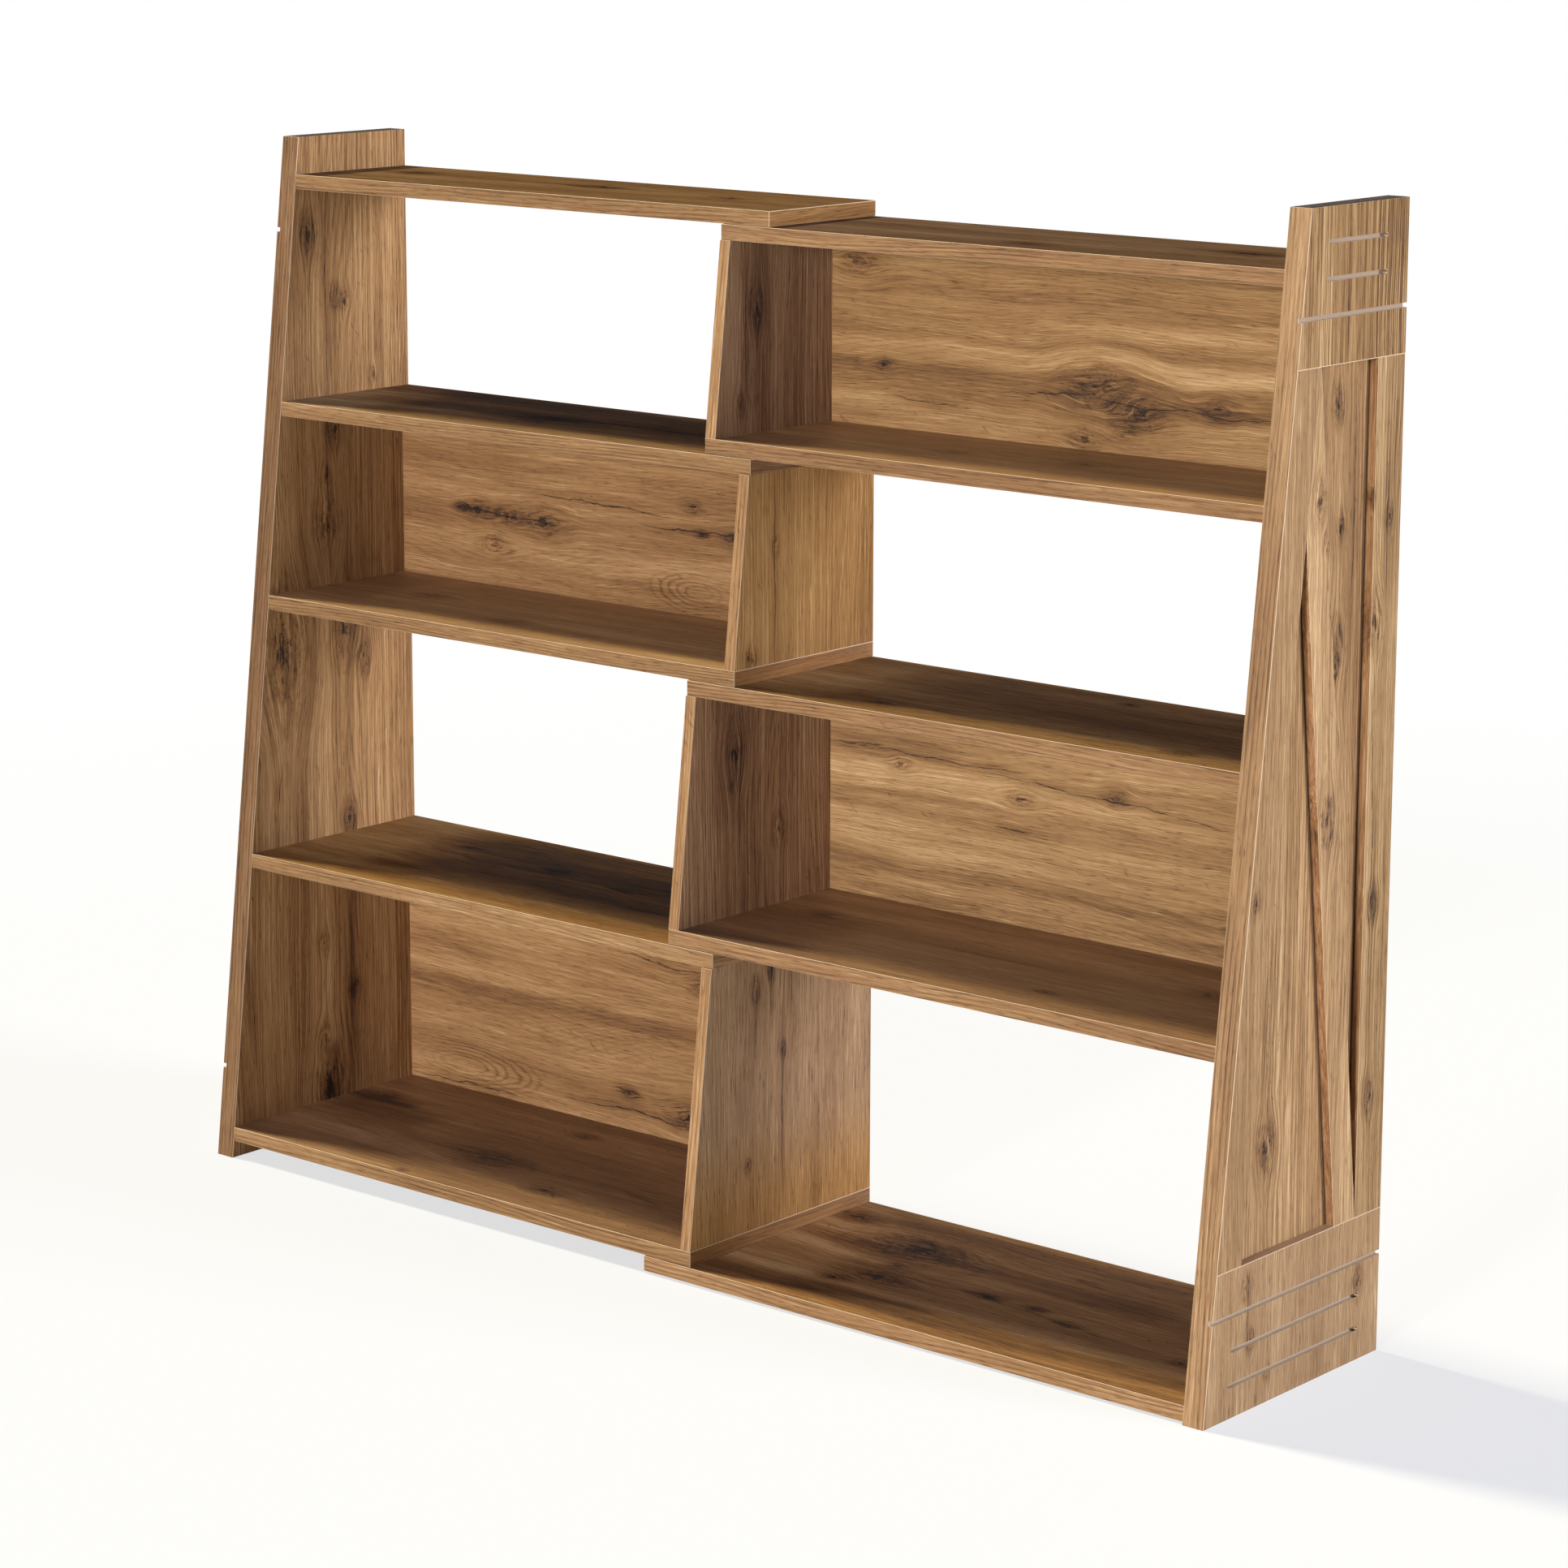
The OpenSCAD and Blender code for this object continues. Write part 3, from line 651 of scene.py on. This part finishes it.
class Board:
    """One board while its print is drawn. Marks change the tone of the print, push its grain or smoke it, and
    some paint light and shade on it.
    """

    def __init__(self, name, kind):
        self.name = name
        self.kind = kind
        self.material, self.shader, self.g = principled(name)
        self.face, self.place, self.facing = board_place(self.g, kind)
        self.ragged = self.g.noise(self.place, (60.0, 150.0, 150.0), 4.0, 0.68)
        self.seed = sum(ord(letter) * (k + 3) for k, letter in enumerate(name)) % 97
        self.tones = [MIDDLE_TONE]
        self.smokes = []
        self.pushed = self.place

    def away_from(self, along, across):
        """The way from a point of the board's face, given in mm."""
        return self.g.vector("SUBTRACT", self.face, (along * MM, across * MM, 0.0))

    def add_knots(self, knots):
        """Knots are as in MARKS."""
        g = self.g
        pushes, marks = [], []
        for along, across, size in knots:
            knot = g.group(KNOT, {
                "Place": self.face,
                "Centre": (along * MM, across * MM, 0.0),
                "Shrink": (1.0 / (size * 1.8 * MM), 1.0 / (size * MM), 0.0),
                "Width": size * MM,
                "Ragged": self.ragged,
            })
            pushes.append(knot["Push"])
            marks.append(g.times(knot["Heart"], KNOT_HEART))
            marks.append(g.times(knot["Curls"], KNOT_CURLS))
            marks.append(g.times(knot["Halo"], KNOT_HALO))
        if knots:
            streak = g.ramp(g.noise(self.place, (45.0, 480.0, 480.0), 3.0, 0.7), 0.34, 0.64, 0.40, 1.20)
            self.tones.append(g.times(g.total(marks), g.times(streak, KNOT_DEPTH.get(self.name, 1.0))))
        self.pushed = g.vector("ADD", self.place, g.join(0.0, g.total(pushes), 0.0))

    def add_cracks(self, cracks):
        """Cracks are as in MARKS."""
        g = self.g
        own = g.vector("ADD", self.face, (self.seed * CRACK_SHIFT, 0.0, 0.0))
        slow = g.noise(own, (9.0, 0.0, 0.0), 4.0, 0.6)
        wander = g.times(g.minus(slow, 0.5), UPRIGHT_WANDER if self.kind == "upright" else WANDER)
        for along, across, length, slope in cracks:
            crack = g.group(CRACK, {
                "Place": self.face,
                "Centre": (along * MM, across * MM, 0.0),
                "Half": length * MM / 2,
                "Slope": slope,
                "Width": CRACK_WIDTH.get(self.name, USUAL_CRACK) * MM,
                "Wander": wander,
                "Ragged": self.ragged,
            })
            self.tones.append(g.times(crack["Line"], CRACK_LINE))
            self.smokes.append(g.times(crack["Smoke"], CRACK_SMOKE))

    def add_bands_and_painted_light(self, bands):
        """Bands of print, painted light and painted shade are as in the table of bands, and bend a little."""
        g = self.g
        bend = g.minus(g.noise(self.place, (3.0, 9.0, 9.0), 3.0, 0.6), 0.5)
        bent = g.plus(g.split(self.pushed)[1], g.times(bend, 0.045))
        for across, half, change in bands:
            away = g.size_of(g.minus(bent, across * MM))
            self.tones.append(g.ramp(away, half * 0.55 * MM, half * 1.35 * MM, change, 0.0))

    def add_arcs(self, groups):
        """Groups of nested growth arcs are as in ARCS."""
        g = self.g
        uneven = g.noise(self.place, (14.0, 40.0, 40.0), 3.0, 0.6)
        for along, across, half_length, half_width, count in groups:
            shrink = (1.0 / (half_length * MM), 1.0 / (half_width * MM), 0.0)
            sized = g.vector("MULTIPLY", self.away_from(along, across), shrink)
            distance = g.length(sized)
            turns = g.plus(g.times(distance, count * math.tau), g.times(uneven, 13.0))
            arc = g.math("POWER", g.wave(turns), 3.0)
            seen = g.times(g.ramp(distance, 1.25, 0.80), g.ramp(distance, 0.10, 0.35))
            seen = g.times(seen, g.ramp(g.split(sized)[0], -0.70, 0.20, 0.15, 1.0))
            self.tones.append(g.times(arc, seen, ARC_LINE))

    def add_smoke_and_painted_light(self, areas):
        """Areas of smoke, painted shade and painted reflection are as in the table of smoky parts, and have a
        patchy edge.
        """
        g = self.g
        patchy = g.noise(self.place, (5.0, 14.0, 14.0), 3.0, 0.6)
        for along, across, half_length, half_width, depth in areas:
            away = g.split(self.away_from(along, across))
            far_along = g.math("DIVIDE", g.size_of(away[0]), half_length * MM)
            far_across = g.math("DIVIDE", g.size_of(away[1]), half_width * MM)
            edge = g.plus(g.math("MAXIMUM", far_along, far_across), g.times(patchy, 0.7))
            self.tones.append(g.ramp(edge, 0.95, 1.45, -depth, 0.0))

    def trimmed_edge(self):
        """1 on the narrow slope at the board's arris, where the trimmed edge is pale, and 0 on flat faces."""
        g = self.g
        sizes = [g.size_of(self.facing[k]) for k in range(3)]
        largest = g.math("MAXIMUM", g.math("MAXIMUM", sizes[0], sizes[1]), sizes[2])
        return g.ramp(largest, 0.97, 0.90)

    def painted(self, shade):
        """Draws the print with its marks, shades it, and gives the material."""
        g = self.g
        bend, stripes = GRAIN_FORM[self.kind]
        drawn = g.group(OAK, {
            "Print": g.vector("ADD", self.pushed, tuple(self.seed * step for step in PRINT_SHIFT)),
            "Tone": g.total(self.tones),
            "Smoke": g.total(self.smokes),
            "Bend": bend,
            "Stripes": stripes,
            "Contrast": CONTRAST.get(self.name, USUAL_CONTRAST),
            "Ribs": RIBS.get(self.name, RIBS_OF_KIND[self.kind]),
        })
        # The wash holds painted light and shade on the shelves, the dividers and the end bands.
        color = g.wash(drawn["Color"], WASH.get(self.name, NO_WASH))
        if self.name in FOOT_WASH:
            full, none, wash = FOOT_WASH[self.name]
            color = g.wash(color, wash, g.ramp(g.split(self.face)[0], full * MM, none * MM, 1.0, 0.0))
        if shade is not None:
            color = shade(g, self.face, self.facing, color)
        g.feed(self.shader.inputs["Base Color"], g.mix(self.trimmed_edge(), color, CUT_EDGE))
        g.feed(self.shader.inputs["Roughness"], drawn["Roughness"])
        g.feed(self.shader.inputs["Normal"], g.bump(0.30, 0.0003, drawn["Height"]))
        shine = SHINE.get(self.name, SHINE_OF_KIND[self.kind])
        self.shader.inputs["Specular IOR Level"].default_value = shine
        return self.material


def oak(name, kind, shade):
    """The oak print of one board, with the marks, painted light and painted shade that the tables give it."""
    board = Board(name, kind)
    knots, cracks = MARKS.get(name, ((), ()))
    board.add_knots(knots)
    if cracks:
        board.add_cracks(cracks)
    if name in BANDS_AND_PAINTED_LIGHT:
        board.add_bands_and_painted_light(BANDS_AND_PAINTED_LIGHT[name])
    if name in ARCS:
        board.add_arcs(ARCS[name])
    if name in SMOKE_AND_PAINTED_LIGHT:
        board.add_smoke_and_painted_light(SMOKE_AND_PAINTED_LIGHT[name])
    return board.painted(shade)


def level_band_shade(side):
    """Paints the bands of the shelves: pale cut edges, and a pale line along the top of each front."""
    tops = [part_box(f"{side}_shelf_{level}")[1].z for level in range(1, 6)]

    def shade(g, face, facing, color):
        front = g.faces(g.times(facing[1], -1.0))
        height = g.split(face)[1]
        lines = g.total([g.within(height, top - TRIM, top + TRIM) for top in tops])
        color = g.mix(lines, color, CUT_EDGE)
        return g.mix(front, CUT_EDGE, color)

    return shade


def upright_band_shade(g, face, facing, color):
    """Paints the bands of the uprights: print in front, and pale cut edges at the sides."""
    front = g.faces(g.times(facing[1], -1.0))
    return g.mix(front, CUT_EDGE, color)


def shelf_shade(node):
    """Gives the free end of a shelf its own tone, and a pale line along its top."""
    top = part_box(node)[1].z

    def shade(g, face, facing, color):
        end = g.faces(g.size_of(facing[0]))
        line = g.math("GREATER_THAN", g.split(face)[2], top - 2.0 * TRIM)
        band = g.wash(color, FREE_END.get(node, NO_WASH))
        return g.mix(end, color, g.mix(line, band, CUT_EDGE))

    return shade


def rail_shade(side, name):
    """Paints a rail: raw grooves, a pale line at the joint with the boards next to it, and reddish edges."""
    low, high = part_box(f"{side}_{name}")
    top = "top" in name
    seam = low.z if top else high.z
    seam_side = -1.0 if top else 1.0
    depth_of = outer_depth(side)

    def shade(g, face, facing, color):
        height, rear, _ = g.split(face)
        away = g.size_of(g.minus(height, seam))
        flat = g.math("LESS_THAN", g.size_of(facing[1]), 0.8)
        color = g.mix(g.math("LESS_THAN", away, 2.0 * TRIM), color, CUT_EDGE)
        inward = g.faces(g.times(facing[2], seam_side), LAYER_FACE)
        on_seam = g.times(inward, g.math("LESS_THAN", away, 0.001))
        color = g.wash(color, EDGE_WASH, g.math("MAXIMUM", on_seam, g.minus(1.0, flat)))
        if top:
            color = upright_shade(g, face, facing, color)
        blind = g.minus(1.0, g.within(away, *THROUGH_GROOVE))
        spot = g.times(g.within(rear, *GROOVE_SPOT), blind)
        # The upward lower walls of the grooves get a paler colour, as painted light.
        raw = g.mix(g.ramp(facing[2], 0.5, 0.9), GROOVE if top else GROOVE_LOW, GROOVE_WALL)
        inside = g.within(away, GROOVE_MARGIN, high.z - low.z - GROOVE_MARGIN)
        grooved = g.times(g.ramp(depth_of(g, face), 0.0003, 0.0009), inside)
        return g.mix(g.times(grooved, flat), color, g.mix(spot, raw, SPOT if top else SPOT_LOW))

    return shade


def layer_board_shade(side):
    """Paints a stile or brace: reddish edges, with painted shade in the corner at their foot."""
    depth_of = outer_depth(side)

    def shade(g, face, facing, color):
        color = g.wash(color, EDGE_WASH, g.faces(g.size_of(facing[1]), LAYER_FACE))
        # The foot of the side faces, in the corner with the recessed board, is darkened as painted shade.
        return g.mix(g.ramp(depth_of(g, face), 0.0085, 0.0112), color, PAINTED_CORNER_SHADE)

    return shade


def outer_depth(side):
    """Gives a function that draws how deep a point lies below the outer face of a side's end, in metres."""
    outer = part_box(f"{side}_top_rail")[0 if side == "left" else 1].x
    sign = -1.0 if side == "left" else 1.0

    def depth(g, face):
        return g.times(g.minus(outer, g.split(face)[2]), sign)

    return depth


def upright_shade(g, face, facing, color):
    """Darkens the upward faces of uprights."""
    return g.wash(color, TOP_WASH, g.faces(facing[2]))


def kind_of(node):
    if "shelf_edge" in node:
        return "level_band"
    if "edge_band" in node:
        return "upright_band"
    if "shelf" in node:
        return "shelf"
    if "back_panel" in node:
        return "back"
    return "upright"


def shade_of(node, kind):
    """The function that paints a board's edges, ends and grooves, or None."""
    side, name = node.split("_", 1)
    if kind == "level_band":
        return level_band_shade(side)
    if kind == "upright_band":
        return upright_band_shade
    if "rail" in name:
        return rail_shade(side, name)
    if "stile" in name or "brace" in name:
        return layer_board_shade(side)
    if kind == "upright":
        return upright_shade
    if kind == "shelf":
        return shelf_shade(node)
    return None


def plain(name, color, rough, grain, metallic=0.0, contrast=0.12):
    """A fitting's material: one colour with a fine variation and a little relief."""
    material, shader, g = principled(name)
    cloud = g.noise(g.place(), grain, 3.0)
    darker = tuple(c * (1.0 - contrast) for c in color)
    lighter = tuple(min(1.0, c * (1.0 + contrast)) for c in color)
    g.feed(shader.inputs["Base Color"], g.mix(g.ramp(cloud, 0.3, 0.7), darker, lighter))
    g.feed(shader.inputs["Roughness"], g.ramp(cloud, 0.2, 0.8, rough * 0.85, rough * 1.15))
    shader.inputs["Metallic"].default_value = metallic
    g.feed(shader.inputs["Normal"], g.bump(0.2, 0.0001, cloud))
    return material


FITTINGS = {
    "cam_locks": plain("zinc", (0.62, 0.62, 0.60), rough=0.42, metallic=1.0, grain=(900.0, 900.0, 900.0)),
    "cam_bolts": plain(
        "steel", (0.55, 0.56, 0.57), rough=0.32, metallic=1.0, grain=(400.0, 2500.0, 2500.0),
    ),
    "divider_screws": plain(
        "screw_steel", (0.55, 0.56, 0.57), rough=0.32, metallic=1.0, grain=(2500.0, 2500.0, 400.0),
    ),
    "pivot_pin": plain(
        "turned_steel", (0.58, 0.58, 0.58), rough=0.25, metallic=1.0, grain=(300.0, 300.0, 4000.0),
    ),
    "dowels": plain("beech", (0.60, 0.40, 0.22), rough=0.60, grain=(400.0, 400.0, 400.0), contrast=0.2),
    "floor_glides": plain("black_plastic", (0.018, 0.017, 0.016), rough=0.45, grain=(700.0, 700.0, 700.0)),
}


def dress(node, material):
    """Gives a piece of the frame its material."""
    piece = nodes[node]
    piece.data.materials.clear()
    piece.data.materials.append(material)


def soften(node, width):
    """Breaks the sharp edges of a board by a narrow slope, as its trimmed bands have."""
    piece = nodes[node]
    weld = piece.modifiers.new("weld", "WELD")
    weld.merge_threshold = 0.00001
    planar = piece.modifiers.new("planar", "DECIMATE")
    planar.decimate_type = "DISSOLVE"
    planar.angle_limit = math.radians(0.5)
    bevel = piece.modifiers.new("arris", "BEVEL")
    bevel.width = width
    bevel.segments = 2
    bevel.limit_method = "ANGLE"
    bevel.angle_limit = math.radians(40.0)
    bevel.harden_normals = False
    smooth = piece.modifiers.new("normals", "WEIGHTED_NORMAL")
    smooth.keep_sharp = False


def dress_all():
    for node in sorted(nodes):
        fitting = [material for name, material in FITTINGS.items() if name in node]
        if fitting:
            dress(node, fitting[0])
            continue
        kind = kind_of(node)
        dress(node, oak(node, kind, shade_of(node, kind)))
        soften(node, BAND_TRIM if "edge_band" in node else TRIM)


def seen_directly(g):
    """1 for rays from the camera, off a reflection or through glass, which show the background as it is."""
    light = g.tree.nodes.new("ShaderNodeLightPath").outputs
    seen = g.math("MAXIMUM", light["Is Camera Ray"], light["Is Glossy Ray"])
    return g.math("MAXIMUM", seen, light["Is Transmission Ray"])


def floor():
    """A pale floor that keeps the object's shadow and fades to white."""
    bpy.ops.mesh.primitive_plane_add(size=FLOOR_SIZE)
    plane = bpy.context.object
    plane.name = "floor"
    material, shader, g = principled("floor")
    shader.inputs["Base Color"].default_value = (*FLOOR_COLOR, 1.0)
    shader.inputs["Roughness"].default_value = 0.9
    shader.inputs["Specular IOR Level"].default_value = 0.0
    far = g.ramp(g.length(g.place()), FADE_START, FADE_END, NEAR_WHITE, 1.0)
    white = g.add("ShaderNodeEmission", {"Color": WHITE, "Strength": 1.0})
    factor = g.times(seen_directly(g), far)
    blend = g.add("ShaderNodeMixShader", {0: factor, 1: shader.outputs[0], 2: white})
    g.feed(g.tree.nodes["Material Output"].inputs["Surface"], blend)
    plane.data.materials.append(material)


def world():
    """A world of low level that is seen as white."""
    made = bpy.data.worlds.new("studio")
    bpy.context.scene.world = made
    made.use_nodes = True
    g = Graph(made.node_tree)
    background = g.tree.nodes["Background"]
    g.feed(background.inputs["Color"], g.mix(seen_directly(g), WORLD_COLOR, WHITE))
    background.inputs["Strength"].default_value = 1.0


def sun(name, azimuth, elevation, level, angle, color=WHITE):
    """A sun seen from the part at an azimuth, 0 in front and 90 at the right. It lights a face towards it to
    its level. Angles are in degrees."""
    lamp = bpy.data.lights.new(name, "SUN")
    lamp.energy = level * math.pi
    lamp.angle = math.radians(angle)
    lamp.color = color
    made = bpy.data.objects.new(name, lamp)
    bpy.context.scene.collection.objects.link(made)
    a = math.radians(azimuth)
    e = math.radians(elevation)
    towards = Vector((math.sin(a) * math.cos(e), -math.cos(a) * math.cos(e), math.sin(e)))
    made.rotation_mode = "QUATERNION"
    made.rotation_quaternion = towards.to_track_quat("Z", "Y")


def camera():
    """A camera close to the photograph's, fitted to the corners of the bookshelf."""
    data = bpy.data.cameras.new("camera")
    data.sensor_width = 36.0
    data.lens = 102.8
    data.shift_y = -0.05
    made = bpy.data.objects.new("camera", data)
    bpy.context.scene.collection.objects.link(made)
    made.location = (3.335, -3.895, 1.694)
    pitch, yaw, roll = 11.41, 40.26, -0.10
    made.rotation_euler = (math.radians(90.0 - pitch), math.radians(roll), math.radians(yaw))
    bpy.context.scene.camera = made


dress_all()
floor()
world()
sun("front", azimuth=10.0, elevation=7.0, level=0.98, angle=12.0)
sun("upper_left", azimuth=-89.5, elevation=49.0, level=1.20, angle=7.0, color=(1.0, 0.91, 0.55))
sun("right", azimuth=105.0, elevation=10.0, level=1.02, angle=20.0, color=(0.94, 0.99, 1.07))
camera()
bpy.context.scene.view_settings.view_transform = "Standard"
